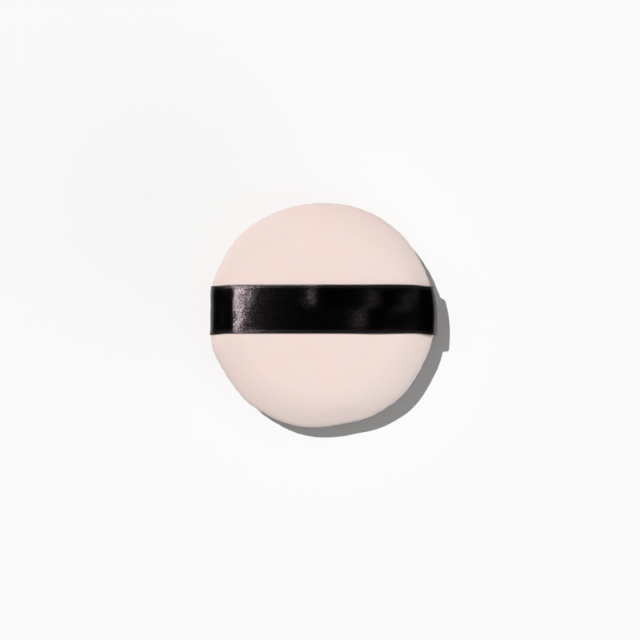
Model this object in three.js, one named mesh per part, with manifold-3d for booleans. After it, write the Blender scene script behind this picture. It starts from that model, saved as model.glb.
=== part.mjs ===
// A round velour powder puff with a satin finger band, built the way it is sewn.
// Two velour discs meet in a turned-in rim seam round a foam disc. A lockstitch of two
// threads holds the seam, the band's ends are caught in it and sewn down once more, and
// the stretch left open for turning is closed by hand.
// Millimetres, +Z up. The puff lies on its powder face, the band runs along X, and the
// origin is the middle of the face that rests on the table.
import * as THREE from "three";
import { mergeVertices } from "three/addons/utils/BufferGeometryUtils.js";
import Module from "manifold-3d";

// The puff as a whole.
const puffDiameter = 75;
const puffHeight = 15.5;
const seamHeight = 7.4; // of the rim seam above the table
const restingDepth = 0.5; // how far the table presses the powder face flat
const roundness = 3; // exponent of the faces' outline, where 2 is an ellipse

// The velour of both covers.
const velourThickness = 1;
const seamAllowance = 6; // turned in, from the rim
const seamGap = 0.3; // between the two turned-in edges

// The foam disc.
const foamClearance = 0.3; // to the velour and the threads round it

// The satin band.
const bandWidth = 16;
const bandThickness = 0.35;
const bandOffset = 2; // along Y, as it is sewn
const bandClearance = 0.3; // to the velour round it
const bandRimEase = 0.2; // slack where it passes the rim
const bandRoundness = 3.8; // exponent of its outline: its shoulder stands a little proud
const bandSetback = 0.4; // of its cut ends from the velour's cut edges inside the seam
const liftingLength = 44; // the stretch over the fingers, which rises

// The sewing.
const threadDiameter = 0.25;
const threadClearance = 0.1;
const stitchInset = 0.8; // of the stitch line from the seam's fold
const stitchLength = 3.6;
const turningGap = 30; // of the stitch line, closed by hand
const closingStitchLength = 3;
const endRowSpacing = 1.5; // of the second row over the band's ends from the stitch line
const endRowMargin = 1.5; // of that row from the band's edges
const endStitchLength = 3;

// How far every cutting block runs past what it cuts.
const cutOverrun = 1;

// How finely the round forms are drawn.
const roundSteps = 48;
const faceSteps = 9;
const innerSteps = 7;
const foldSteps = 3;
const bendSteps = 4;
const bandSteps = 12;

const velourColour = 0xefdcd3;
const foamColour = 0xf4ecd8;
const satinColour = 0x0b0a0b;
const threadColour = 0xeadacf;
const bandThreadColour = 0x141214;

// The covers' shape, worked out.
const puffRadius = puffDiameter / 2;
const foldRadius = velourThickness;
const foldCentreRadius = puffRadius - foldRadius;
const allowanceRadius = puffRadius - seamAllowance;
const upperFoldHeight = seamHeight + seamGap / 2 + foldRadius;
const lowerFoldHeight = seamHeight - seamGap / 2 - foldRadius;
const upperCrown = puffHeight - upperFoldHeight;
const lowerCrown = lowerFoldHeight + restingDepth;

// The threads' places, worked out. The run heights are those of the threads on either side
// of the seam. The two threads of a lockstitch pass round each other in quarter turns, and
// the root keeps their straight runs a clearance apart.
const threadRadius = threadDiameter / 2;
const stitchRadius = foldCentreRadius - stitchInset;
const upperRunHeight = upperFoldHeight + threadClearance + threadRadius;
const lowerRunHeight = lowerFoldHeight - threadClearance - threadRadius;
const twistRadius = (threadRadius + threadClearance / 2) * Math.SQRT2;
const threadRoom = threadClearance + threadDiameter + foamClearance;

// The band's shape, worked out. The bend takes it out of the seam and up round the fold.
const bandRimRadius = puffRadius + bandClearance + bandThickness / 2 + bandRimEase;
const bandBendRadius = foldRadius + bandClearance + bandThickness / 2;
const bandBendHeight = seamHeight + bandBendRadius;
const bandTop = puffHeight + bandClearance + bandThickness / 2;
const bandEnd = allowanceRadius + bandSetback;

const wasm = await Module();
wasm.setup();

// A closed mesh as a solid that can be cut. Triangles that shrink to a line on the axis go.
function toSolid(geometry) {
  const bare = geometry.clone();
  bare.deleteAttribute("normal");
  bare.deleteAttribute("uv");
  const merged = mergeVertices(bare);
  const triangles = [];
  for (let start = 0; start < merged.index.count; start += 3) {
    const corners = [0, 1, 2].map((corner) => merged.index.getX(start + corner));
    if (new Set(corners).size === 3) {
      triangles.push(...corners);
    }
  }
  return new wasm.Manifold(
    new wasm.Mesh({
      numProp: 3,
      vertProperties: merged.attributes.position.array,
      triVerts: new Uint32Array(triangles),
    }),
  );
}

function toGeometry(solid) {
  const { vertProperties, triVerts } = solid.getMesh();
  const geometry = new THREE.BufferGeometry();
  geometry.setAttribute("position", new THREE.BufferAttribute(vertProperties, 3));
  geometry.setIndex(new THREE.BufferAttribute(triVerts, 1));
  return geometry;
}

// A block between two corners, to cut with.
function block(low, high) {
  const size = new THREE.Vector3().subVectors(high, low);
  const middle = new THREE.Vector3().addVectors(low, high).multiplyScalar(0.5);
  const box = new THREE.BoxGeometry(size.x, size.y, size.z);
  return toSolid(box.translate(middle.x, middle.y, middle.z));
}

// The superellipse quarter that crowns a face: (distance from the axis, height above the
// fold), from one height down to another.
function crownCurve(reach, crown, fromHeight, toHeight, exponent, steps) {
  const first = Math.acos((fromHeight / crown) ** (exponent / 2));
  const last = Math.acos((toHeight / crown) ** (exponent / 2));
  const points = [];
  for (let step = 0; step <= steps; step += 1) {
    const turn = first + ((last - first) * step) / steps;
    const across = Math.sin(turn) ** (2 / exponent);
    const up = Math.max(Math.cos(turn), 0) ** (2 / exponent);
    points.push(new THREE.Vector2(reach * across, crown * up));
  }
  return points;
}

// A profile turned about Z. It runs from its top on the axis, round the outside, to the
// axis again.
function turned(profile) {
  const upwards = [...profile].reverse();
  return new THREE.LatheGeometry(upwards, roundSteps).rotateX(Math.PI / 2);
}

// Half the section of a cover, with heights above its fold: the crowned face, the fold
// round the rim, the allowance turned in under it, and the inner wall back to the axis.
function coverProfile(crown, flatHeight) {
  const innerCrown = crown - velourThickness;
  const innerFlat = flatHeight - velourThickness;
  const outer = crownCurve(puffRadius, crown, flatHeight, 0, roundness, faceSteps);
  const inner = crownCurve(foldCentreRadius, innerCrown, innerFlat, 0, roundness, innerSteps);
  const fold = [];
  for (let step = 1; step <= foldSteps; step += 1) {
    const turn = ((Math.PI / 2) * step) / foldSteps;
    const across = foldCentreRadius + foldRadius * Math.cos(turn);
    fold.push(new THREE.Vector2(across, -foldRadius * Math.sin(turn)));
  }
  return [
    new THREE.Vector2(0, flatHeight),
    ...outer,
    ...fold,
    new THREE.Vector2(allowanceRadius, -foldRadius),
    new THREE.Vector2(allowanceRadius, 0),
    ...inner.reverse(),
    new THREE.Vector2(0, innerFlat),
  ];
}

function backCover() {
  const profile = coverProfile(upperCrown, upperCrown);
  return turned(profile.map((p) => new THREE.Vector2(p.x, upperFoldHeight + p.y)));
}

// The powder face is the same turned over, with its crown pressed flat on the table.
function faceCover() {
  const profile = coverProfile(lowerCrown, lowerFoldHeight).reverse();
  return turned(profile.map((p) => new THREE.Vector2(p.x, lowerFoldHeight - p.y)));
}

// The foam fills both covers and is grooved round its rim for the seam and its threads.
function foamCore() {
  const reach = foldCentreRadius - foamClearance;
  const grooveRadius = allowanceRadius - foamClearance;
  const wall = velourThickness + foamClearance;
  const lobe = (crown, flatHeight) => [
    new THREE.Vector2(0, flatHeight),
    ...crownCurve(reach, crown, flatHeight, threadRoom, roundness, innerSteps),
    new THREE.Vector2(grooveRadius, threadRoom),
  ];
  const upper = lobe(upperCrown - wall, upperCrown - wall);
  const lower = lobe(lowerCrown - wall, lowerFoldHeight - wall).reverse();
  return turned([
    ...upper.map((p) => new THREE.Vector2(p.x, upperFoldHeight + p.y)),
    ...lower.map((p) => new THREE.Vector2(p.x, lowerFoldHeight - p.y)),
  ]);
}

// The rings of a section swept along a line, mitred where the line turns. The section's x
// lies along the direction that across gives for a point, square to the line.
function ringsAlong(line, section, across) {
  return line.map((point, index) => {
    const before = line[Math.max(index - 1, 0)];
    const after = line[Math.min(index + 1, line.length - 1)];
    const into = point.clone().sub(before).normalize();
    const onward = after.clone().sub(point).normalize();
    const along = into.clone().add(onward).normalize();
    const stretch = 1 / Math.max(along.dot(into), along.dot(onward));
    const side = across(point).projectOnPlane(along).normalize();
    const up = new THREE.Vector3().crossVectors(along, side);
    return section.map((corner) =>
      point
        .clone()
        .addScaledVector(side, corner.x)
        .addScaledVector(up, corner.y * stretch),
    );
  });
}

// A closed skin over rings of as many points each.
function skinned(rings) {
  const count = rings[0].length;
  const last = (rings.length - 1) * count;
  const triangles = [];
  for (let ring = 0; ring < last; ring += count) {
    for (let corner = 0; corner < count; corner += 1) {
      const next = (corner + 1) % count;
      triangles.push(ring + corner, ring + next, ring + count + next);
      triangles.push(ring + corner, ring + count + next, ring + count + corner);
    }
  }
  for (let corner = 1; corner < count - 1; corner += 1) {
    triangles.push(0, corner + 1, corner);
    triangles.push(last, last + corner, last + corner + 1);
  }
  const geometry = new THREE.BufferGeometry();
  geometry.setFromPoints(rings.flat());
  geometry.setIndex(triangles);
  return geometry;
}

function threadAlong(line, across) {
  const section = [
    new THREE.Vector2(threadRadius, 0),
    new THREE.Vector2(0, threadRadius),
    new THREE.Vector2(-threadRadius, 0),
    new THREE.Vector2(0, -threadRadius),
  ];
  return skinned(ringsAlong(line, section, across));
}

// A place on the round stitch line: its angle, then how far on along the line, how far out
// from it, and how high.
function onStitchLine(angle, along, out, height) {
  return new THREE.Vector3(stitchRadius + out, along, height).applyAxisAngle(
    new THREE.Vector3(0, 0, 1),
    angle,
  );
}

const outwards = (point) => new THREE.Vector3(point.x, point.y, 0).normalize();

// The angles of the machine stitches, all round but for the turning gap at the front, and
// those of the stitches that close the gap.
const gapMiddle = -Math.PI / 2;
const gapAngle = turningGap / stitchRadius;

function machineStitchAngles() {
  const seamAngle = 2 * Math.PI - gapAngle;
  const count = Math.round((seamAngle * stitchRadius) / stitchLength);
  const start = gapMiddle + gapAngle / 2;
  return Array.from({ length: count + 1 }, (_, index) => start + (seamAngle * index) / count);
}

function closingStitchAngles() {
  const count = Math.round(turningGap / closingStitchLength);
  const start = gapMiddle - gapAngle / 2;
  return Array.from({ length: count }, (_, index) => start + (gapAngle * (index + 0.5)) / count);
}

// One thread of the lockstitch. In each hole it comes in from its own side, passes round the
// other thread in the middle of the seam and goes back. side is 1 for the needle thread,
// which runs above the seam, and -1 for the bobbin thread below it.
function lockstitchThread(side) {
  const runHeight = side > 0 ? upperRunHeight : lowerRunHeight;
  const line = machineStitchAngles().flatMap((angle) => [
    onStitchLine(angle, -twistRadius, 0, runHeight),
    onStitchLine(angle, -twistRadius, side * twistRadius, seamHeight),
    onStitchLine(angle, 0, 0, seamHeight - side * twistRadius),
    onStitchLine(angle, twistRadius, -side * twistRadius, seamHeight),
    onStitchLine(angle, twistRadius, 0, runHeight),
  ]);
  return threadAlong(line, outwards);
}

// A single thread that goes down and up through the seam by turns, at the given places.
function runningThread(places) {
  const line = places.flatMap((place, index) => {
    const top = place.clone().setZ(upperRunHeight);
    const bottom = place.clone().setZ(lowerRunHeight);
    return index % 2 === 0 ? [top, bottom] : [bottom, top];
  });
  return threadAlong(line, outwards);
}

function closingPlaces() {
  return closingStitchAngles().map((angle) => onStitchLine(angle, 0, 0, seamHeight));
}

// The second row of stitches over an end of the band. side is 1 at +X and -1 at -X.
function endRowPlaces(side) {
  const length = bandWidth - 2 * endRowMargin;
  const count = Math.round(length / endStitchLength);
  return Array.from({ length: count + 1 }, (_, index) => {
    const along = bandOffset - length / 2 + (length * index) / count;
    const angle = Math.asin(along / (stitchRadius - endRowSpacing));
    const place = onStitchLine(angle, 0, -endRowSpacing, seamHeight);
    return place.setX(side * place.x);
  });
}

// Everything that the needle opened, through both covers and the band's tails.
function needleHoles() {
  const depth = upperFoldHeight - lowerFoldHeight + threadDiameter;
  const room = threadRadius + threadClearance;
  const hole = (place, reach) => {
    const box = new THREE.BoxGeometry(2 * reach, 2 * reach, depth);
    return toSolid(box.rotateZ(Math.atan2(place.y, place.x)).translate(place.x, place.y, place.z));
  };
  const lockstitchPlaces = machineStitchAngles().map((angle) =>
    onStitchLine(angle, 0, 0, seamHeight),
  );
  const singlePlaces = [...closingPlaces(), ...endRowPlaces(1), ...endRowPlaces(-1)];
  return [
    ...lockstitchPlaces.map((place) => hole(place, twistRadius + room)),
    ...singlePlaces.map((place) => hole(place, room)),
  ].reduce((all, one) => all.add(one));
}

// The band as a turned shell: the flat tail inside the seam, the bend out of it and up round
// the fold, and the crowned part over the puff. The band is a strip of it, so that it follows
// the rim and the crown across its width too.
function bandShell() {
  const rise = bandTop - bandBendHeight;
  const bendCentre = bandRimRadius - bandBendRadius;
  const line = [new THREE.Vector3(bandEnd - cutOverrun, 0, seamHeight)];
  for (let step = 0; step <= bendSteps; step += 1) {
    const turn = ((Math.PI / 2) * step) / bendSteps;
    const across = bendCentre + bandBendRadius * Math.sin(turn);
    line.push(new THREE.Vector3(across, 0, bandBendHeight - bandBendRadius * Math.cos(turn)));
  }
  const crown = crownCurve(bandRimRadius, rise, rise, 0, bandRoundness, bandSteps);
  const climbing = crown.slice(1, -1).reverse();
  line.push(...climbing.map((p) => new THREE.Vector3(p.x, 0, bandBendHeight + p.y)));
  const section = [
    new THREE.Vector2(0, bandThickness / 2),
    new THREE.Vector2(0, -bandThickness / 2),
  ];
  const pairs = ringsAlong(line, section, () => new THREE.Vector3(0, -1, 0));
  const outer = pairs.map(([point]) => new THREE.Vector2(point.x, point.z));
  const inner = pairs.map(([, point]) => new THREE.Vector2(point.x, point.z));
  return turned([
    new THREE.Vector2(0, bandTop + bandThickness / 2),
    ...outer.reverse(),
    ...inner,
    new THREE.Vector2(0, bandTop - bandThickness / 2),
  ]);
}

// The strip of the band's shell between two places along X and two heights.
function bandStrip(fromX, toX, fromHeight, toHeight) {
  const low = new THREE.Vector3(fromX, bandOffset - bandWidth / 2, fromHeight);
  const high = new THREE.Vector3(toX, bandOffset + bandWidth / 2, toHeight);
  return toSolid(bandShell()).intersect(block(low, high));
}

function bandSpan() {
  const reach = liftingLength / 2;
  return bandStrip(-reach, reach, bandBendHeight, bandTop + cutOverrun);
}

// side is 1 at +X and -1 at -X.
function bandDrop(side) {
  const places = [side * (liftingLength / 2), side * (bandRimRadius + cutOverrun)];
  return bandStrip(Math.min(...places), Math.max(...places), bandBendHeight, bandTop + cutOverrun);
}

function bandTail(side) {
  const places = [side * bandEnd, side * (bandRimRadius + cutOverrun)];
  return bandStrip(Math.min(...places), Math.max(...places), seamHeight - cutOverrun, bandBendHeight);
}

// The room that a tail of the band presses into both allowances.
function tailPocket(side) {
  const places = [side * (bandEnd - bandClearance), side * (bandRimRadius + cutOverrun)];
  const halfWidth = bandWidth / 2 + bandClearance;
  const halfHeight = bandThickness / 2 + bandClearance;
  return block(
    new THREE.Vector3(Math.min(...places), bandOffset - halfWidth, seamHeight - halfHeight),
    new THREE.Vector3(Math.max(...places), bandOffset + halfWidth, seamHeight + halfHeight),
  );
}

function piece(name, geometry, color, roughness) {
  const material = new THREE.MeshStandardMaterial({ color, roughness, metalness: 0 });
  const mesh = new THREE.Mesh(geometry, material);
  mesh.name = name;
  return mesh;
}

function buildPuff() {
  const holes = needleHoles();
  const coverCuts = holes.add(tailPocket(1)).add(tailPocket(-1));
  const cutCover = (geometry) => toGeometry(toSolid(geometry).subtract(coverCuts));

  const cushion = new THREE.Group();
  cushion.add(
    piece("face_cover", cutCover(faceCover()), velourColour, 0.95),
    piece("back_cover", cutCover(backCover()), velourColour, 0.95),
    piece("foam_core", foamCore(), foamColour, 0.9),
    piece("needle_thread", lockstitchThread(1), threadColour, 0.6),
    piece("bobbin_thread", lockstitchThread(-1), threadColour, 0.6),
    piece("closing_stitches", runningThread(closingPlaces()), threadColour, 0.6),
    piece("ribbon_left_tack", runningThread(endRowPlaces(-1)), bandThreadColour, 0.6),
    piece("ribbon_right_tack", runningThread(endRowPlaces(1)), bandThreadColour, 0.6),
  );

  const ribbon = new THREE.Group();
  ribbon.add(
    piece("ribbon_left_tail", toGeometry(bandTail(-1).subtract(holes)), satinColour, 0.35),
    piece("ribbon_left_drop", toGeometry(bandDrop(-1)), satinColour, 0.35),
    piece("ribbon_span", toGeometry(bandSpan()), satinColour, 0.35),
    piece("ribbon_right_drop", toGeometry(bandDrop(1)), satinColour, 0.35),
    piece("ribbon_right_tail", toGeometry(bandTail(1).subtract(holes)), satinColour, 0.35),
  );

  const puff = new THREE.Group();
  puff.add(cushion, ribbon);
  return puff;
}

export default buildPuff();
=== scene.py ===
import math

import bmesh
import bpy
import numpy as np
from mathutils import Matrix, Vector, noise


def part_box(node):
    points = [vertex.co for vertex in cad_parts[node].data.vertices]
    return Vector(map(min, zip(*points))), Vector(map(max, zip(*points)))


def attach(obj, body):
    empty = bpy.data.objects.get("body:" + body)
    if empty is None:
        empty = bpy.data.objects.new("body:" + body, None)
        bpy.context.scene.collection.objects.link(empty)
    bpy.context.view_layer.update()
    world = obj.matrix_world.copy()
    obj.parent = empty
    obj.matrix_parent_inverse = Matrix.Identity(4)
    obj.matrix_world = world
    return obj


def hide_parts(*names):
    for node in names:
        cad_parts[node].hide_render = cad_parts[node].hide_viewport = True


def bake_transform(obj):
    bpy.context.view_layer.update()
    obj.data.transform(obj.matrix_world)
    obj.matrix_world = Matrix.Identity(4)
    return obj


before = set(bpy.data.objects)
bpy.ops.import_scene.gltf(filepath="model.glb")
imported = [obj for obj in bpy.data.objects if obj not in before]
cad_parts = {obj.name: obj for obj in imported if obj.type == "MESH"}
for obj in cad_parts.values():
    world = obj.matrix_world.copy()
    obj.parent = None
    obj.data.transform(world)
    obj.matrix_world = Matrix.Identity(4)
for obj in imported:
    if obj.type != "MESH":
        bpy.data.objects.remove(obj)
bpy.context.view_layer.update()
print("frame loaded")

mm = 0.001  # sizes below are in millimetres, and a mesh turns to metres when it's finished


def boxOf(node):
    low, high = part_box(node)
    return low / mm, high / mm


backLow, backHigh = boxOf("back_cover")
faceHigh = boxOf("face_cover")[1]
spanLow, spanHigh = boxOf("ribbon_span")
tailLow = boxOf("ribbon_right_tail")[0]

# the puff as sewn, from the frame where it says
puff = {
    "radius": backHigh.x,
    "top": backHigh.z,
    "seamHeight": (backLow.z + faceHigh.z) / 2,
    "seamGap": backLow.z - faceHigh.z,
    "roundness": 3.0,  # of the faces' outline, where 2 is an ellipse
    "velour": 1.0,  # thickness with its pile
    "allowance": 6.0,  # turned in from the rim
    "restingDepth": 0.5,  # how far the table presses the powder face flat
    "stitchCount": 54,  # of the machine, all round but for the turning gap
    "stitchRadius": 35.7,
    "turningGap": 30.0,
    "closingCount": 10,
}
puff["upperFold"] = puff["seamHeight"] + puff["seamGap"] / 2 + puff["velour"]
puff["lowerFold"] = puff["seamHeight"] - puff["seamGap"] / 2 - puff["velour"]
puff["foldRadius"] = puff["radius"] - puff["velour"]

# the satin band. The back cover lies flat under it.
band = {
    "middle": (spanLow.y + spanHigh.y) / 2,
    "width": spanHigh.y - spanLow.y,
    "thickness": 0.28,
    "lift": 0.03,  # of its underside above the velour
    "easeFrom": 26.0,  # from here outwards it stands off a little more
    "leftEase": 0.1,  # and this much more at its ends
    "rightEase": 0.1,
    "rightSlack": 1.3,  # how much further over the shoulder before the right end
    "slackPlace": 3.0,  # the shoulder's distance up the outline from the fold
    "slackWidth": 2.4,
    "ripples": (  # where it has rucked up: X, height, half its width, from and to across the ribbon
        (-0.2, 0.55, 4.0, 0.5, 7.5),
        (22.0, 1.17, 6.6, 0.0, 7.5),
        (17.6, 1.07, 6.6, -7.5, 0.0),
        (-29.0, 0.18, 4.0, -7.5, -0.5),
    ),
    "rippleFade": 2.0,  # each fades over this much either side of its from and to
    "end": tailLow.x,  # its cut ends, inside the seam
    "tailSpare": 4.0,  # its line is drawn this far past them
    "endDip": 0.55,  # both ends run a little towards -Y
    "dipFrom": 30.0,
    "step": 0.11,  # between points along it
    "edgeStep": 0.1,  # and across it, in a strip at each edge
    "edgeStrip": 1.2,
    "innerColumns": 26,
    "selvedgePitch": 0.87,
    "selvedgeReach": 0.24,
    "selvedgeFade": 0.5,
    "loopHeight": 0.045,
    "loopRows": ((0.32, 1.0), (0.85, 0.8)),  # how far from the edge, and how full
    "loopWidth": 0.2,
    "paintedGlintPower": 1.5,  # a higher power keeps their painted glint closer to their tops
    "sharpAngle": 60.0,  # degrees, between its faces and its cut sides
    "blendStart": puff["radius"],
    "blendEnd": 9.0,  # where the lifting is full, from the middle
}

# how the rim strays from a true circle: at this many degrees, this far, over this many degrees
rimBumps = (
    (54, 0.40, 17),
    (100, -0.30, 20),
    (136, 0.36, 9),
    (152, -0.10, 6),
    (197, 0.25, 6),
    (210, -0.22, 8),
    (232, 0.40, 8),
    (249, 0.30, 8),
    (280, -0.72, 11),
    (316, 0.42, 10),
    (347, 0.20, 8),
)
# the taut band draws the rim in at its left end
leftPull = {"angle": 180.5, "depth": 1.15, "width": 11.0}
# and the back drops before its rim: at this many degrees, over this many, how deep, from and to
creases = (
    (177.5, 14.0, 0.44, 29.0, 32.6),
    (27.0, 13.0, 0.78, 31.2, 36.2),
    (277.0, 24.0, 0.45, 31.0, 36.5),
)
creaseFade = 2.0  # the creases start at the fold and are full this far above it


# shapes that the pieces share, worked out


def smooth(low, high, value):
    share = ((value - low) / (high - low)).clip(0, 1)
    return share * share * (3 - 2 * share)


def bell(distance, width, power=2):
    # 1 in the middle and 0 far off, with a flatter top at a higher power
    return np.exp(-((distance / width) ** power))


def wave(turns):
    # 1 at whole turns, for radians, and 0 between them
    return 0.5 + 0.5 * np.cos(turns)


def stepsOf(points):
    return np.hypot(*np.diff(points, axis=0).T)


def evenly(points, spacing):
    # the same outline with its points a spacing apart
    points = np.array(points, float)
    along = np.concatenate([[0], np.cumsum(stepsOf(points))])
    count = max(int(round(along[-1] / spacing)), 1)
    places = np.linspace(0, along[-1], count + 1)
    return np.stack([np.interp(places, along, points[:, k]) for k in range(2)], axis=1)


def crownOutline(reach, crown, flatHeight, grow=0.0, steps=4000):
    # from the axis out to the fold, heights above the fold, grown outwards square to itself
    roundness = puff["roundness"]
    turns = np.linspace(math.acos((flatHeight / crown) ** (roundness / 2)), math.pi / 2, steps)
    across = reach * np.sin(turns) ** (2 / roundness)
    up = crown * np.cos(turns).clip(0) ** (2 / roundness)
    slopeAcross = np.gradient(across)
    slopeUp = np.gradient(up)
    length = np.hypot(slopeAcross, slopeUp)
    return np.stack([across - grow * slopeUp / length, up + grow * slopeAcross / length], axis=1)


def foldOutline(centre, radius, steps=40):
    turns = np.linspace(0, math.pi / 2, steps)
    return np.stack([centre + radius * np.cos(turns), -radius * np.sin(turns)], axis=1)


def polar(points):
    # distance from the puff's axis, and angle in radians
    return np.hypot(points[:, 0], points[:, 1]), np.arctan2(points[:, 1], points[:, 0])


def outward(turns):
    return np.stack([np.cos(turns), np.sin(turns), np.zeros_like(turns)], axis=1)


def degreesFrom(middle, angles):
    return (angles - middle + 180) % 360 - 180


def rimShift(angles):
    # how far the rim moves outwards, for angles in degrees
    shift = np.zeros_like(angles)
    for middle, height, width in rimBumps:
        shift += height * bell(degreesFrom(middle, angles), width)
    return shift


def bandPull(angles):
    # how far the band draws the rim in
    off = degreesFrom(leftPull["angle"], angles)
    return leftPull["depth"] * bell(off, leftPull["width"], power=4)


def creaseDrop(points):
    # how far the back drops at its creases, for points on the back and its band
    across, turns = polar(points)
    drop = np.zeros(len(points))
    for middle, width, depth, start, end in creases:
        here = bell(degreesFrom(middle, np.degrees(turns)), width, power=4)
        drop += depth * smooth(start, end, across) * here
    return drop * smooth(puff["upperFold"], puff["upperFold"] + creaseFade, points[:, 2])


def stitchPhase(turns):
    # whole numbers at the stitches, for angles in radians
    gap = puff["turningGap"] / puff["stitchRadius"]
    start = -math.pi / 2 + gap / 2
    turn = (turns - start) % (2 * math.pi)
    sewn = 2 * math.pi - gap
    closed = (turn - sewn) / gap * puff["closingCount"] + 0.5
    return np.where(turn < sewn, turn / sewn * puff["stitchCount"], closed)


def underBand(points, margin):
    # 1 under the band, fading to 0 over the margin past its edges
    off = np.abs(points[:, 1] - band["middle"]) - band["width"] / 2
    return 1 - smooth(0, margin, off)


def meshPoints(mesh):
    points = np.zeros(len(mesh.vertices) * 3)
    mesh.vertices.foreach_get("co", points)
    return points.reshape(-1, 3)


def pointsOf(bm):
    return np.array([v.co for v in bm.verts])


def normalsOf(bm):
    return np.array([v.normal for v in bm.verts])


def placePoints(bm, points):
    for vert, point in zip(bm.verts, points):
        vert.co = point


def gridOf(columns, rows):
    # a flat grid of quads, with the column and row that each of its points stands in
    bm = bmesh.new()
    bmesh.ops.create_grid(bm, x_segments=columns, y_segments=rows, size=0.5)
    places = np.rint((pointsOf(bm)[:, :2] + 0.5) * (columns, rows)).astype(int)
    return bm, places[:, 0], places[:, 1]


def spun(outline, steps):
    # an outline turned about Z, closed where it meets the axis
    bm, column, row = gridOf(steps, len(outline) - 1)
    turns = column / steps * 2 * math.pi
    across, up = outline[row].T
    placePoints(bm, np.stack([across * np.cos(turns), across * np.sin(turns), up], axis=1))
    bmesh.ops.remove_doubles(bm, verts=bm.verts, dist=1e-4)
    bmesh.ops.recalc_face_normals(bm, faces=bm.faces)
    return bm


def addObject(name, data):
    made = bpy.data.objects.new(name, data)
    bpy.context.scene.collection.objects.link(made)
    return made


def shadeSmooth(mesh):
    mesh.polygons.foreach_set("use_smooth", [True] * len(mesh.polygons))


def finish(bm, name, materials):
    # scales to metres and makes the object, at the origin and unturned
    bmesh.ops.scale(bm, vec=(mm, mm, mm), verts=bm.verts)
    mesh = bpy.data.meshes.new(name)
    bm.to_mesh(mesh)
    bm.free()
    shadeSmooth(mesh)
    for material in materials:
        mesh.materials.append(material)
    return addObject(name, mesh)


def applyModifiers(piece):
    graph = bpy.context.evaluated_depsgraph_get()
    mesh = bpy.data.meshes.new_from_object(piece.evaluated_get(graph))
    piece.modifiers.clear()
    piece.data = mesh


# the pillow: one closed skin round the whole puff, blown up by cloth simulation between its
# pinned seam and its pinned resting face. The covers, foam and band follow how it moves.
pillow = {
    "scale": 10.0,  # the cloth solver is steadier on something larger
    "spacing": 1.0,
    "steps": 200,
    "voxel": 1.8,
    "crownShare": 0.965,  # it starts a little flatter, and swells
    "pressure": 1.2,
    "stiffness": 40.0,
    "bending": 4.0,
    "mass": 0.3,
    "quality": 6,
    "frames": 20,
    "cap": 0.6,  # no point moves further
    "pinnedRim": 1.6,  # from the seam, over the rim
    "pinnedBase": 0.3,  # from the table
    "rimReach": 24.0,  # the rim's shape fades out from here inwards
    "pullReach": 31.0,  # and the pull of the band's left end from here
    "evening": 2.0,  # how far its movement is evened out
}


def makePillow(setup):
    upperCrown = (puff["top"] - puff["upperFold"]) * setup["crownShare"]
    lowerCrown = puff["lowerFold"] + puff["restingDepth"]
    upper = crownOutline(puff["radius"], upperCrown, upperCrown)
    lower = crownOutline(puff["radius"], lowerCrown, puff["lowerFold"])
    upper[:, 1] += puff["upperFold"]
    lower[:, 1] = puff["lowerFold"] - lower[:, 1]
    outline = evenly(np.concatenate([upper, lower[::-1], [[0, 0]]]), setup["spacing"])
    outline[0, 0] = 0
    bm = spun(outline, setup["steps"])
    bmesh.ops.scale(bm, vec=(setup["scale"],) * 3, verts=bm.verts)
    pad = finish(bm, "pillow", [])
    remesh = pad.modifiers.new("remesh", "REMESH")
    remesh.mode = "VOXEL"
    remesh.voxel_size = setup["voxel"] * setup["scale"] * mm
    applyModifiers(pad)
    return pad


def blowUp(pad, pinned, setup):
    group = pad.vertex_groups.new(name="pinned")
    group.add([int(index) for index in np.flatnonzero(pinned)], 1.0, "REPLACE")
    cloth = pad.modifiers.new("cloth", "CLOTH")
    cloth.settings.quality = setup["quality"]
    cloth.settings.mass = setup["mass"]
    cloth.settings.tension_stiffness = setup["stiffness"]
    cloth.settings.compression_stiffness = setup["stiffness"]
    cloth.settings.shear_stiffness = setup["stiffness"] / 2
    cloth.settings.bending_stiffness = setup["bending"]
    cloth.settings.vertex_group_mass = "pinned"
    cloth.settings.use_pressure = True
    cloth.settings.uniform_pressure_force = setup["pressure"]
    cloth.settings.effector_weights.gravity = 0
    cloth.collision_settings.use_collision = False
    cloth.point_cache.frame_start = 1
    cloth.point_cache.frame_end = setup["frames"]
    for frameNumber in range(1, setup["frames"] + 1):
        bpy.context.scene.frame_set(frameNumber)
    applyModifiers(pad)
    bpy.context.scene.frame_set(1)


def swell(pad, setup):
    # returns where its points would be on the true outline, and how far each is from there
    toReal = 1 / (setup["scale"] * mm)
    start = meshPoints(pad.data) * toReal
    across, turns = polar(start)
    rim = rimShift(np.degrees(turns)) * smooth(setup["rimReach"], puff["radius"], across)
    rim -= bandPull(np.degrees(turns)) * smooth(setup["pullReach"], puff["foldRadius"], across)
    moved = start + rim[:, None] * outward(turns)
    pad.data.vertices.foreach_set("co", (moved / toReal).ravel())
    fromSeam = np.abs(start[:, 2] - puff["seamHeight"])
    blowUp(pad, (fromSeam < setup["pinnedRim"]) | (start[:, 2] < setup["pinnedBase"]), setup)
    step = meshPoints(pad.data) * toReal - moved
    length = np.maximum(np.linalg.norm(step, axis=1), 1e-6)
    capped = setup["cap"] * np.tanh(length / setup["cap"])
    moved += step * (capped / length)[:, None]
    print("pillow moved", length.mean().round(3), "on average and", length.max().round(3), "at most")
    outlinePoints = start.copy()
    outlinePoints[:, 2] += (start[:, 2] - puff["upperFold"]).clip(0) * (1 / setup["crownShare"] - 1)
    return outlinePoints, moved - outlinePoints


pad = makePillow(pillow)
pillowPoints, pillowMoves = swell(pad, pillow)
bpy.data.objects.remove(pad)
print("pillow done:", len(pillowPoints), "points")


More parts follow.
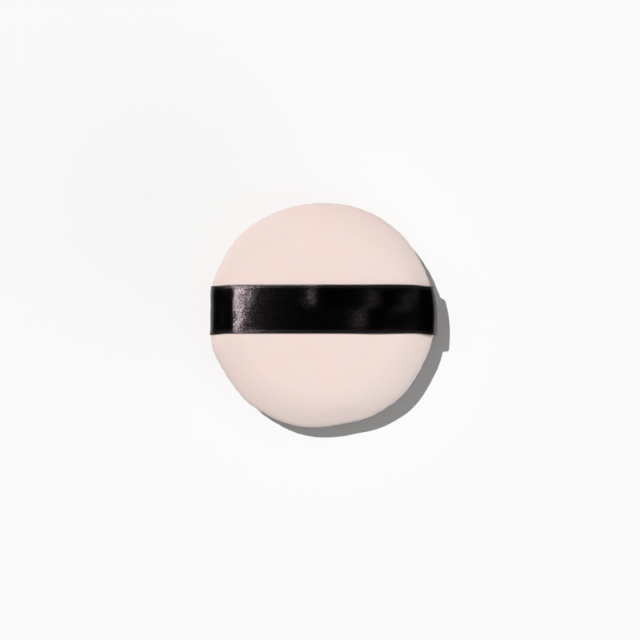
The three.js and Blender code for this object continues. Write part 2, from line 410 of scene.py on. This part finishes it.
def padShift(points, rowsAtOnce=2000):
    # how the pillow's movement carries each point: an average that nearer points weigh in more
    near = pillowPoints.astype(np.float32)
    moves = pillowMoves.astype(np.float32)
    lengths = (near * near).sum(axis=1)
    shifts = []
    for first in range(0, len(points), rowsAtOnce):
        some = points[first : first + rowsAtOnce].astype(np.float32)
        apart = lengths - 2 * some @ near.T
        apart -= apart.min(axis=1, keepdims=True)
        weights = np.exp(-apart / pillow["evening"] ** 2)
        shifts.append(weights @ moves / weights.sum(axis=1, keepdims=True))
    return np.concatenate(shifts).astype(float)


# colours and finishes


def newMaterial(name):
    material = bpy.data.materials.new(name)
    material.use_nodes = True
    material.node_tree.nodes.clear()
    shader = addNode(material, "ShaderNodeBsdfPrincipled")
    addNode(material, "ShaderNodeOutputMaterial", {"Surface": shader.outputs["BSDF"]})
    return material, shader


def setInputs(material, node, inputs):
    # inputs are values, or sockets to link from
    for key, value in inputs.items():
        if isinstance(value, bpy.types.NodeSocket):
            material.node_tree.links.new(value, node.inputs[key])
        else:
            node.inputs[key].default_value = value


def addNode(material, kind, inputs=None, **settings):
    node = material.node_tree.nodes.new(kind)
    for key, value in settings.items():
        setattr(node, key, value)
    setInputs(material, node, inputs or {})
    return node


def stretched(material, place, scale):
    return addNode(material, "ShaderNodeMapping", {"Vector": place, "Scale": scale}).outputs["Vector"]


def placeInMm(material):
    coordinates = addNode(material, "ShaderNodeTexCoord")
    return stretched(material, coordinates.outputs["Object"], (1 / mm, 1 / mm, 1 / mm))


def noiseAt(material, place, size, detail=2.0, roughness=0.5):
    inputs = {"Vector": place, "Scale": 1 / size, "Detail": detail, "Roughness": roughness}
    return addNode(material, "ShaderNodeTexNoise", inputs).outputs["Fac"]


def vectorMath(material, operation, *vectors):
    return addNode(material, "ShaderNodeVectorMath", dict(enumerate(vectors)), operation=operation)


def spread(material, value, low, high, toLow=0.0, toHigh=1.0, kind="LINEAR"):
    inputs = {"Value": value, "From Min": low, "From Max": high, "To Min": toLow, "To Max": toHigh}
    return addNode(material, "ShaderNodeMapRange", inputs, interpolation_type=kind).outputs["Result"]


def mixColours(material, share, first, second, blend="MIX"):
    node = addNode(material, "ShaderNodeMix", data_type="RGBA", blend_type=blend)
    first, second = ((*c, 1) if isinstance(c, tuple) else c for c in (first, second))
    setInputs(material, node, {0: share, 6: first, 7: second})
    return node.outputs[2]


def shaded(material, colour, shade):
    return mixColours(material, 1.0, colour, shade, "MULTIPLY")


def bumpFrom(material, height, distance, strength=1.0, under=None):
    inputs = {"Height": height, "Distance": distance * mm, "Strength": strength}
    if under is not None:
        inputs["Normal"] = under
    return addNode(material, "ShaderNodeBump", inputs).outputs["Normal"]


velourLook = {
    "colour": (0.890, 0.735, 0.680),
    "pinker": (0.905, 0.722, 0.672),
    "greyer": (0.866, 0.738, 0.690),
    "cloud": 9.0,  # how wide the clouds, patches and tufts of its tone are
    "patch": 2.6,
    "tuft": 0.32,
    "tuftDepth": 0.05,
    "cloudRange": (0.35, 0.65),  # of its noise, from the one tone to the other
    "patchRange": (0.3, 0.7),
    "tuftRange": (0.25, 0.75),
    "tuftShade": (0.955, 1.02),  # between and on the tufts
    "paintedRimShade": 0.90,  # painted shade, darker towards the rim
    "rimFrom": 25.0,
    "rimTo": 35.5,
    "thrownLight": 0.45,  # share of its light that falls on other things, so the paper stays white
    "roughness": 0.95,
    "specular": 0.1,
    "sheen": 0.1,
    "sheenRoughness": 0.45,
    "sheenTint": (1.0, 0.98, 0.98),
}


def velourMaterial(look):
    material, shader = newMaterial("velour")
    place = placeInMm(material)
    clouds = spread(material, noiseAt(material, place, look["cloud"]), *look["cloudRange"])
    patches = noiseAt(material, place, look["patch"], detail=3.0)
    patches = spread(material, patches, *look["patchRange"])
    tufts = noiseAt(material, place, look["tuft"], detail=3.0, roughness=0.6)
    hair = noiseAt(material, place, look["tuft"] / 3, roughness=0.6)
    tone = mixColours(material, clouds, look["greyer"], look["pinker"])
    tone = mixColours(material, patches, tone, look["colour"])
    tone = shaded(material, tone, spread(material, tufts, *look["tuftRange"], *look["tuftShade"]))
    flat = vectorMath(material, "MULTIPLY", place, (1, 1, 0)).outputs["Vector"]
    across = vectorMath(material, "LENGTH", flat).outputs["Value"]
    # painted shade: the colour darkens from rimFrom out to rimTo
    rim = spread(material, across, look["rimFrom"], look["rimTo"], 1.0, look["paintedRimShade"])
    tone = shaded(material, tone, rim)
    thrown = addNode(material, "ShaderNodeLightPath").outputs["Is Diffuse Ray"]
    tone = shaded(material, tone, spread(material, thrown, 0.0, 1.0, 1.0, look["thrownLight"]))
    coarse = bumpFrom(material, tufts, look["tuftDepth"], strength=0.8)
    inputs = {
        "Base Color": tone,
        "Normal": bumpFrom(material, hair, look["tuftDepth"] / 2, strength=0.6, under=coarse),
        "Roughness": look["roughness"],
        "Specular IOR Level": look["specular"],
        "Sheen Weight": look["sheen"],
        "Sheen Roughness": look["sheenRoughness"],
        "Sheen Tint": (*look["sheenTint"], 1),
    }
    setInputs(material, shader, inputs)
    return material


satinLook = {
    "colour": (0.0003, 0.00025, 0.0003),
    "glint": (1.0, 0.82, 0.86),
    "roughness": 0.31,
    "anisotropy": 0.96,
    "rotation": 0.25,  # a quarter turn, from along the ribbon to across it
    "ior": 1.5,
    "specular": 0.85,
    "loops": (0.035, 0.030, 0.032),  # painted glints: the tops of the weft's loops along the edges get this paler colour in place of their glints
    "floatLength": 0.22,  # of the speckle's cells along and across the ribbon
    "floatWidth": 0.13,
    "floatRange": (0.0, 0.8),  # from the middle of a cell to its edge
    "floatShade": (1.4, 0.6),
    "tilt": 0.058,
    "lean": 0.512,  # the floats lean a little along the ribbon, where 0.5 is upright
}


def satinMaterial(look):
    material, shader = newMaterial("satin")
    along = addNode(material, "ShaderNodeUVMap", uv_map="UVMap").outputs["UV"]
    cells = stretched(material, along, (1 / look["floatLength"], 1 / look["floatWidth"], 1))
    inputs = {"Vector": cells, "Scale": 1.0}
    floats = addNode(material, "ShaderNodeTexVoronoi", inputs, voronoi_dimensions="2D")
    turned = mixColours(material, look["tilt"], (look["lean"], 0.5, 1.0), floats.outputs["Color"])
    normal = addNode(material, "ShaderNodeNormalMap", {"Color": turned}, uv_map="UVMap")
    tangent = addNode(material, "ShaderNodeTangent", direction_type="UV_MAP", uv_map="UVMap")
    tone = spread(material, floats.outputs["Distance"], *look["floatRange"], *look["floatShade"])
    tone = shaded(material, look["colour"], tone)
    # painted glints: a paler colour on the tops of the loops along the edges
    loop = addNode(material, "ShaderNodeAttribute", attribute_name="loop").outputs["Fac"]
    inputs = {
        "Base Color": mixColours(material, loop, tone, look["loops"]),
        "Normal": normal.outputs["Normal"],
        "Tangent": tangent.outputs["Tangent"],
        "Roughness": look["roughness"],
        "Anisotropic": look["anisotropy"],
        "Anisotropic Rotation": look["rotation"],
        "IOR": look["ior"],
        "Specular IOR Level": look["specular"],
        "Specular Tint": (*look["glint"], 1),
    }
    setInputs(material, shader, inputs)
    return material


foamLook = {
    "colour": (0.90, 0.83, 0.69),
    "cell": 0.55,
    "depth": 0.25,
    "depthReach": 0.3,  # a cell is full deep this far from its walls, where 1 is its size
    "shadeReach": 0.25,  # and full dark this far from them
    "deepShade": 0.72,
    "roughness": 0.9,
}


def foamMaterial(look):
    material, shader = newMaterial("foam")
    inputs = {"Vector": placeInMm(material), "Scale": 1 / look["cell"]}
    cells = addNode(material, "ShaderNodeTexVoronoi", inputs, feature="DISTANCE_TO_EDGE")
    fromWall = cells.outputs["Distance"]
    walls = spread(material, fromWall, 0.0, look["shadeReach"], 1.0, look["deepShade"])
    deep = spread(material, fromWall, 0.0, look["depthReach"], 1.0, 0.0)
    inputs = {
        "Base Color": shaded(material, look["colour"], walls),
        "Normal": bumpFrom(material, deep, look["depth"]),
        "Roughness": look["roughness"],
    }
    setInputs(material, shader, inputs)
    return material


threadLook = {
    "seamColour": (0.82, 0.69, 0.62),
    "bandColour": (0.012, 0.010, 0.012),
    "plies": 1.4,  # scale of the bands that its two plies make, which lie slantwise
    "stray": 1.5,  # how much the bands are distorted
    "plyDepth": 0.05,
    "plyShade": (0.75, 1.0),  # between and on the plies
    "fuzz": 0.06,
    "fuzzDepth": 0.02,
    "roughness": 0.55,
}


def threadMaterial(name, colour, look):
    material, shader = newMaterial(name)
    place = placeInMm(material)
    inputs = {"Vector": place, "Scale": look["plies"], "Distortion": look["stray"], "Detail": 1.0}
    bands = {"wave_type": "BANDS", "bands_direction": "DIAGONAL"}
    plies = addNode(material, "ShaderNodeTexWave", inputs, **bands).outputs["Fac"]
    ply = bumpFrom(material, plies, look["plyDepth"])
    fuzz = noiseAt(material, place, look["fuzz"])
    shade = spread(material, plies, 0.0, 1.0, *look["plyShade"])
    inputs = {
        "Base Color": shaded(material, colour, shade),
        "Normal": bumpFrom(material, fuzz, look["fuzzDepth"], under=ply),
        "Roughness": look["roughness"],
    }
    setInputs(material, shader, inputs)
    return material


velour = velourMaterial(velourLook)
satin = satinMaterial(satinLook)
foam = foamMaterial(foamLook)
seamThread = threadMaterial("seamThread", threadLook["seamColour"], threadLook)
bandThread = threadMaterial("bandThread", threadLook["bandColour"], threadLook)
print("materials done")

# the two velour covers. Heights are above the fold, and each pair is from and to.
cover = {
    "spacing": 0.36,
    "foldSpacing": 0.13,
    "cutSpacing": 1.0,
    "innerSpacing": 1.6,
    "steps": 500,
    "foldCore": 0.3,  # everything further out than this from the fold's centre is outside
    "seamClosing": 0.125,  # how far each fold moves to the other
    "closingHeights": (-0.4, 2.2),
    "bandEnds": (26.0, 30.0),  # along X, but not where the band's ends lie in the seam
    "bandMargin": 2.0,
    "pucker": 0.16,
    "puckerHeights": (-1.0, 3.2),
    "puckerRadii": (34.0, 37.0),
    "waves": ((6.0, 0.10, 3.7), (2.2, 0.045, 9.1), (0.9, 0.018, 5.3)),  # size, height, seed
    "napHeights": (-0.8, 0.6),
    "foldNap": 0.25,  # share of the nap that is left inside the fold
    "bandNap": 0.15,  # and under the band
    "tableFade": 0.5,  # it fades out from here down to the table
    "press": 0.048,  # how deep the band lies in the pile
    "pressMargin": 1.0,
}


def coverOutline(crown, flatHeight):
    # heights above the fold: the face, the fold, the allowance and the inner wall
    thickness = puff["velour"]
    reach, turnedIn = puff["foldRadius"], puff["radius"] - puff["allowance"]
    face = evenly(crownOutline(puff["radius"], crown, flatHeight), cover["spacing"])
    fold = evenly(foldOutline(reach, thickness), cover["foldSpacing"])
    under = evenly([(reach, -thickness), (turnedIn, -thickness)], cover["spacing"] * 2)
    cut = evenly([(turnedIn, -thickness), (turnedIn, 0), (reach, 0)], cover["cutSpacing"])
    inner = crownOutline(reach, crown - thickness, flatHeight - thickness)
    inner = evenly(inner, cover["innerSpacing"])[::-1]
    outline = np.concatenate([[[0, flatHeight]], face, fold[1:], under[1:], cut[1:], inner[1:]])
    outline = np.concatenate([outline, [[0, flatHeight - thickness]]])
    outline[:2, 0] = (0, max(outline[1, 0], cover["spacing"]))
    if outline[-2, 0] < 1e-3:
        outline = np.delete(outline, -2, axis=0)
    return outline


def isOutside(across, above, crown, flatHeight):
    # which points are further from the foam than the middle of the cloth
    half = puff["velour"] / 2
    share = (across / (puff["foldRadius"] + half)).clip(0, 1) ** puff["roundness"]
    middle = (crown - half) * (1 - share) ** (1 / puff["roundness"])
    roundFold = across > puff["foldRadius"] + cover["foldCore"]
    return roundFold | (above > np.minimum(middle, flatHeight - half))


def coverMoves(points, above, side):
    # how the pillow, the creases, the closed seam and its stitches move the cloth
    across, turns = polar(points)
    moves = padShift(points)
    if side > 0:
        moves[:, 2] -= creaseDrop(points)
    ends = underBand(points, cover["bandMargin"]) * smooth(*cover["bandEnds"], np.abs(points[:, 0]))
    atSeam = 1 - smooth(*cover["closingHeights"], above)
    moves[:, 2] -= side * cover["seamClosing"] * atSeam * (1 - ends)
    # each stitch draws the fold in a little
    draw = cover["pucker"] * wave(2 * math.pi * stitchPhase(turns))
    draw *= 1 - smooth(*cover["puckerHeights"], above)
    draw *= smooth(*cover["puckerRadii"], across) * (1 - ends)
    return moves - draw[:, None] * outward(turns)


def coverRelief(points, above, side):
    # how far the pile stands out, with the slight unevenness of its nap
    nap = np.zeros(len(points))
    for size, height, seed in cover["waves"]:
        shift = Vector((seed, 2 * seed, -seed))
        nap += [height * noise.noise(Vector(point) / size + shift) for point in points]
    under = underBand(points, cover["pressMargin"]) if side > 0 else np.zeros(len(points))
    nap *= 1 - (1 - cover["bandNap"]) * under
    nap *= smooth(0.0, cover["tableFade"], points[:, 2])
    share = cover["foldNap"]
    return (nap - cover["press"] * under) * (share + (1 - share) * smooth(*cover["napHeights"], above))


def makeCover(name, side):
    # side is 1 for the back, which carries the band, and -1 for the powder face
    if side > 0:
        fold = puff["upperFold"]
        crown = flatHeight = puff["top"] - fold
    else:
        fold = puff["lowerFold"]
        crown, flatHeight = fold + puff["restingDepth"], fold
    outline = coverOutline(crown, flatHeight)
    outline[:, 1] = fold + side * outline[:, 1]
    if side < 0:
        outline = outline[::-1]
    bm = spun(outline, cover["steps"])
    points = pointsOf(bm)
    above = side * (points[:, 2] - fold)
    outside = isOutside(polar(points)[0], above, crown, flatHeight)
    points += coverMoves(points, above, side)
    placePoints(bm, points)
    bm.normal_update()
    relief = coverRelief(points, above, side) * outside
    points += normalsOf(bm) * relief[:, None]
    points[:, 2] = np.maximum(points[:, 2], 0.0)
    placePoints(bm, points)
    piece = finish(bm, name, [velour])
    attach(piece, "puff")
    print(name, "done:", len(piece.data.polygons), "faces")
    return piece


backVelour = makeCover("back_velour", 1)
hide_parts("back_cover")
faceVelour = makeCover("face_velour", -1)
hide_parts("face_cover")

# the foam disc
foamSize = {
    "clearance": 0.25,
    "spacing": 0.8,
    "steps": 240,
    "threadRoom": 0.65,  # above and below the allowances
    "pit": 0.12,  # how deep its open cells are cut
    "pitSize": 0.7,
}


def makeFoam(setup):
    wall = puff["velour"] + setup["clearance"]
    reach = puff["foldRadius"] - setup["clearance"]
    groove = puff["radius"] - puff["allowance"] - setup["clearance"]
    upperCrown = puff["top"] - puff["upperFold"] - wall
    lowerCrown = puff["lowerFold"] + puff["restingDepth"] - wall
    lowerFlat = puff["lowerFold"] - wall
    halves = []
    for crown, flatHeight in ((upperCrown, upperCrown), (lowerCrown, lowerFlat)):
        outline = crownOutline(reach, crown, flatHeight)
        outline = outline[outline[:, 1] > setup["threadRoom"]]
        halves.append(np.concatenate([outline, [[groove, setup["threadRoom"]]]]))
    upper, lower = halves
    lower = np.concatenate([[[0, lowerFlat]], lower])
    upper[:, 1] += puff["upperFold"]
    lower[:, 1] = puff["lowerFold"] - lower[:, 1]
    outline = evenly(np.concatenate([upper, lower[::-1]]), setup["spacing"])
    outline[0, 0] = outline[-1, 0] = 0
    bm = spun(outline, setup["steps"])
    points = pointsOf(bm)
    points += padShift(points)
    pits = np.array([noise.cell(Vector(point) / setup["pitSize"]) for point in points])
    points -= normalsOf(bm) * (pits * setup["pit"])[:, None]
    placePoints(bm, points)
    return finish(bm, "foam_pad", [foam])


foamPad = makeFoam(foamSize)
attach(foamPad, "puff")
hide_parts("foam_core")
print("foam done")


# the satin band, in two halves that meet in the middle of the puff


def bandProfile(ease, slack, foldSteps=200, tailSteps=100):
    # the line of the ribbon's middle plane from the axis over the crown, down round the fold and
    # into the seam: distance from the axis and height
    crown = puff["top"] - puff["upperFold"]
    face = crownOutline(puff["radius"], crown, crown)
    grown = crownOutline(puff["radius"], crown, crown, grow=1.0) - face
    stand = ease * smooth(band["easeFrom"], puff["radius"], face[:, 0])
    stand += band["lift"] + band["thickness"] / 2
    fromFold = np.append(np.cumsum(stepsOf(face)[::-1])[::-1], 0)
    stand += slack * bell(fromFold - band["slackPlace"], band["slackWidth"])
    over = face + grown * stand[:, None]
    over[:, 1] += puff["upperFold"]
    turns = np.linspace(0, math.pi / 2, foldSteps)
    last = puff["upperFold"] - puff["velour"] - puff["seamHeight"]
    radii = puff["velour"] + stand[-1] + (last - stand[-1]) * smooth(0, math.pi / 2, turns)
    foldX = puff["foldRadius"] + radii * np.cos(turns)
    fold = np.stack([foldX, puff["upperFold"] - radii * np.sin(turns)], axis=1)
    seam = puff["seamHeight"]
    tail = np.linspace([puff["foldRadius"], seam], [band["end"] - band["tailSpare"], seam], tailSteps)
    return np.concatenate([over, fold[1:], tail[1:]])


def bandLine(profile, across, lengths):
    # the profile's section at a distance across from the puff's axis, at lengths along it
    radii, heights = profile[:, 0], profile[:, 1]
    keep = radii > abs(across)
    x = np.concatenate([[0], np.sqrt(radii[keep] ** 2 - across**2)])
    z = np.concatenate([heights[keep][:1], heights[keep]])
    along = np.concatenate([[0], np.cumsum(np.hypot(np.diff(x), np.diff(z)))])
    return np.interp(lengths, along, x), np.interp(lengths, along, z)


def halfLength(profile, longest=70.0, steps=7000, level=0.1):
    # from the middle of the puff to the cut end, which lies level in the seam
    x, z = bandLine(profile, band["middle"], np.linspace(0, longest, steps + 1))
    atEnd = np.argmax((x < band["end"]) & (z < puff["seamHeight"] + level))
    return np.hypot(np.diff(x), np.diff(z))[:atEnd].sum()


def placesAcross():
    # across the ribbon, closer together at its woven edges
    width, strip = band["width"], band["edgeStrip"]
    edge = np.arange(0, strip, band["edgeStep"])
    inside = np.linspace(strip, width - strip, band["innerColumns"])
    return np.concatenate([edge, inside, width - edge[::-1]]) - width / 2


def rippleRise(points, t):
    rise = np.zeros(len(points))
    fade = band["rippleFade"]
    for place, height, reach, low, high in band["ripples"]:
        across = smooth(low - fade, low + fade, t) * smooth(high + fade, high - fade, t)
        rise += height * bell(points[:, 0] - place, reach) * across
    return rise


def makeBandHalf(name, side, ease, slack):
    profile = bandProfile(ease, slack)
    length = halfLength(profile)
    rows = int(round(length / band["step"]))
    columns = placesAcross()
    bm, row, column = gridOf(rows, len(columns) - 1)
    # s runs along the ribbon from the puff's middle, and t across it
    s = row / rows * length
    t = columns[column]
    points = np.zeros((len(s), 3))
    for k, offset in enumerate(columns):
        chosen = column == k
        across = band["middle"] + offset
        x, z = bandLine(profile, across, s[chosen])
        points[chosen] = np.stack([side * x, np.full(x.shape, across), z], axis=1)
    fromEdge = band["width"] / 2 - np.abs(t)
    waves = 2 * math.pi * s / band["selvedgePitch"]
    scallop = band["selvedgeReach"] * wave(waves) * (1 - smooth(0, band["selvedgeFade"], fromEdge))
    points[:, 1] += np.sign(t) * (scallop - band["selvedgeReach"] / 2)
    points[:, 1] -= band["endDip"] * smooth(band["dipFrom"], puff["radius"], np.abs(points[:, 0]))
    moves = padShift(points)
    moves[:, 2] -= creaseDrop(points)
    points += moves
    points[:, 2] += rippleRise(points, t)
    placePoints(bm, points)
    bmesh.ops.recalc_face_normals(bm, faces=bm.faces)
    bm.normal_update()
    normals = normalsOf(bm)
    if normals[np.argmin(s)][2] < 0:
        bmesh.ops.reverse_faces(bm, faces=bm.faces)
        normals = -normals
    # the loops of the weft stand out along both edges
    loops = np.zeros(len(s))
    for number, (place, fullness) in enumerate(band["loopRows"]):
        loops += fullness * wave(waves + math.pi * number) * bell(fromEdge - place, band["loopWidth"])
    placePoints(bm, points + normals * loops[:, None] * band["loopHeight"])
    uv = bm.loops.layers.uv.new("UVMap")
    bm.verts.index_update()
    for face in bm.faces:
        for loop in face.loops:
            index = loop.vert.index
            loop[uv].uv = (side * s[index], t[index])
    piece = finish(bm, name, [satin])
    # how much painted glint each point gets, most on the loops' tops
    paintedGlints = piece.data.attributes.new("loop", "FLOAT", "POINT")
    paintedGlints.data.foreach_set("value", (loops ** band["paintedGlintPower"]).clip(0, 1))
    thick = piece.modifiers.new("thickness", "SOLIDIFY")
    thick.thickness = band["thickness"] * mm
    thick.offset = 0
    applyModifiers(piece)
    shadeSmooth(piece.data)
    piece.data.set_sharp_from_angle(angle=math.radians(band["sharpAngle"]))
    print(name, "done:", len(piece.data.polygons), "faces, length", round(length, 2))
    return piece, length


for word, side, ease, slack in (
    ("left", -1, band["leftEase"], 0.0),
    ("right", 1, band["rightEase"], band["rightSlack"]),
):
    half, length = makeBandHalf(f"ribbon_{word}_half", side, ease, slack)
    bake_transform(half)
    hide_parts(f"ribbon_{word}_tail", f"ribbon_{word}_drop", "ribbon_span")

# the sewing keeps the frame's own threads
for node, material in (
    ("needle_thread", seamThread),
    ("bobbin_thread", seamThread),
    ("closing_stitches", seamThread),
    ("ribbon_left_tack", bandThread),
    ("ribbon_right_tack", bandThread),
):
    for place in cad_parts[node].material_slots:
        place.material = material
print("threads done")

# the camera, straight above, as far off as its lens needs for the photo's width
cameraSetup = {
    "lens": 85,
    "sensor": 36,
    "photoWidth": 212.6,  # what the photo spans at the height of the rim seam
    "centre": (-0.40, -1.60),
}


def makeCamera(setup):
    data = bpy.data.cameras.new("camera")
    data.lens = setup["lens"]
    data.sensor_width = setup["sensor"]
    camera = addObject("camera", data)
    rise = setup["photoWidth"] * setup["lens"] / setup["sensor"]
    x, y = setup["centre"]
    camera.location = (x * mm, y * mm, (puff["seamHeight"] + rise) * mm)
    bpy.context.scene.camera = camera


makeCamera(cameraSetup)

lighting = {
    "sunStrength": 2.80,
    "sunColour": (1.0, 0.998, 1.0),
    "sunSize": 1.0,  # degrees across
    "sunHeight": 58.0,  # degrees above the floor
    "sunFrom": 135.0,  # degrees from +X, so it comes from the upper left
    "skyStrength": 0.66,  # a wide soft lamp overhead, which gloss doesn't mirror
    "skyColour": (1.0, 0.975, 0.935),
    "skySize": 120.0,
    "fillFrom": -35.0,  # a low pale card on the side that the sun doesn't reach
    "fillSpread": (0.75, 0.97),  # it fades in between these cosines from its direction
    "fillLight": 8.8,
    "wallLight": 0.02,
    "ceilingLight": 0.003,
    "fillColour": (0.84, 0.94, 1.0),
    "wallTopDegrees": (6, 16),  # where the walls fade into the dark ceiling
}


def direction(turnDegrees, heightDegrees):
    turn, height = math.radians(turnDegrees), math.radians(heightDegrees)
    level = math.cos(height)
    return Vector((math.cos(turn) * level, math.sin(turn) * level, math.sin(height)))


def makeLamp(name, strength, colour, size, towards):
    data = bpy.data.lights.new(name, "SUN")
    data.energy = strength
    data.color = colour
    data.angle = math.radians(size)
    lamp = addObject(name, data)
    lamp.rotation_mode = "QUATERNION"
    lamp.rotation_quaternion = towards.to_track_quat("Z", "Y")
    return lamp


def makeLamps(setup):
    towardsSun = direction(setup["sunFrom"], setup["sunHeight"])
    makeLamp("sun", setup["sunStrength"], setup["sunColour"], setup["sunSize"], towardsSun)
    overhead = Vector((0, 0, 1))
    sky = makeLamp("sky", setup["skyStrength"], setup["skyColour"], setup["skySize"], overhead)
    sky.visible_glossy = False


def makeWorld(setup):
    world = bpy.data.worlds.new("studio")
    bpy.context.scene.world = world
    world.use_nodes = True
    world.node_tree.nodes.clear()
    place = addNode(world, "ShaderNodeTexCoord").outputs["Generated"]
    height = addNode(world, "ShaderNodeSeparateXYZ", {"Vector": place}).outputs["Z"]
    low, high = (math.sin(math.radians(d)) for d in setup["wallTopDegrees"])
    ceiling = spread(world, height, low, high, kind="SMOOTHSTEP")
    facing = vectorMath(world, "DOT_PRODUCT", place, direction(setup["fillFrom"], 0)).outputs["Value"]
    near, far = setup["fillSpread"]
    wall = spread(world, facing, near, far, setup["wallLight"], setup["fillLight"], "SMOOTHSTEP")
    walls = shaded(world, setup["fillColour"], wall)
    sky = mixColours(world, ceiling, walls, (setup["ceilingLight"],) * 3)
    background = addNode(world, "ShaderNodeBackground", {"Color": sky})
    addNode(world, "ShaderNodeOutputWorld", {"Surface": background.outputs["Background"]})


makeLamps(lighting)
makeWorld(lighting)

paper = {"colour": (0.945, 0.945, 0.945), "halfWidth": 4.0}  # in metres


def makeFloor(setup):
    bm = bmesh.new()
    bmesh.ops.create_grid(bm, x_segments=1, y_segments=1, size=setup["halfWidth"])
    mesh = bpy.data.meshes.new("floor")
    bm.to_mesh(mesh)
    bm.free()
    material, shader = newMaterial("paper")
    inputs = {"Base Color": (*setup["colour"], 1), "Roughness": 1.0, "Specular IOR Level": 0.0}
    setInputs(material, shader, inputs)
    mesh.materials.append(material)
    floor = addObject("floor", mesh)


makeFloor(paper)
bpy.context.scene.view_settings.view_transform = "Standard"
print("camera, light and floor done")
